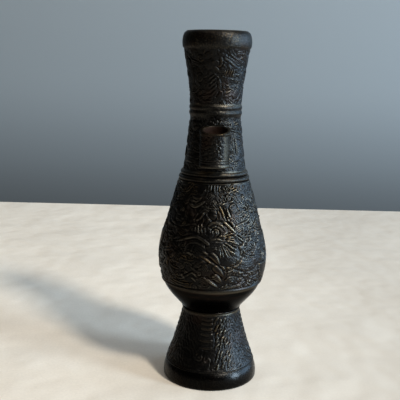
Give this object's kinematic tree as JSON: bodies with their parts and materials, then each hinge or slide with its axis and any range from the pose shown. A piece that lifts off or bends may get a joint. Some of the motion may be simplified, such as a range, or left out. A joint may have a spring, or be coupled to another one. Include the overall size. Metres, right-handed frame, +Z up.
{
  "type": "arrow vase",
  "caption": "Small bronze arrow vase with a splayed foot, pear-shaped body, tall neck with two tubular lugs and a flared mouth.",
  "frame": {"origin": "centre of the foot's underside", "axes": "+Z up along the vase's axis; the two arrow tubes stand on the Y axis, the front one towards -Y"},
  "size_m": [0.046, 0.0474, 0.15],
  "materials": {
    "relief_bronze": "dark brown-black patina over cast relief, rubbed on the high points",
    "plain_bronze": "smooth dark brown-black patina, softly polished",
    "inner_bronze": "dull as-cast brown bronze"
  },
  "bodies": {
    "root": {"foot": "relief_bronze", "floor_plate": "inner_bronze", "bowl": "plain_bronze", "belly_shell": "relief_bronze", "lug_neck": "relief_bronze", "mouth_trumpet": "relief_bronze", "arrow_tube_front": "relief_bronze", "tube_pin_front_lower": "inner_bronze", "tube_pin_front_upper": "inner_bronze", "arrow_tube_back": "relief_bronze", "tube_pin_back_lower": "inner_bronze", "tube_pin_back_upper": "inner_bronze"}
  },
  "joints": []
}
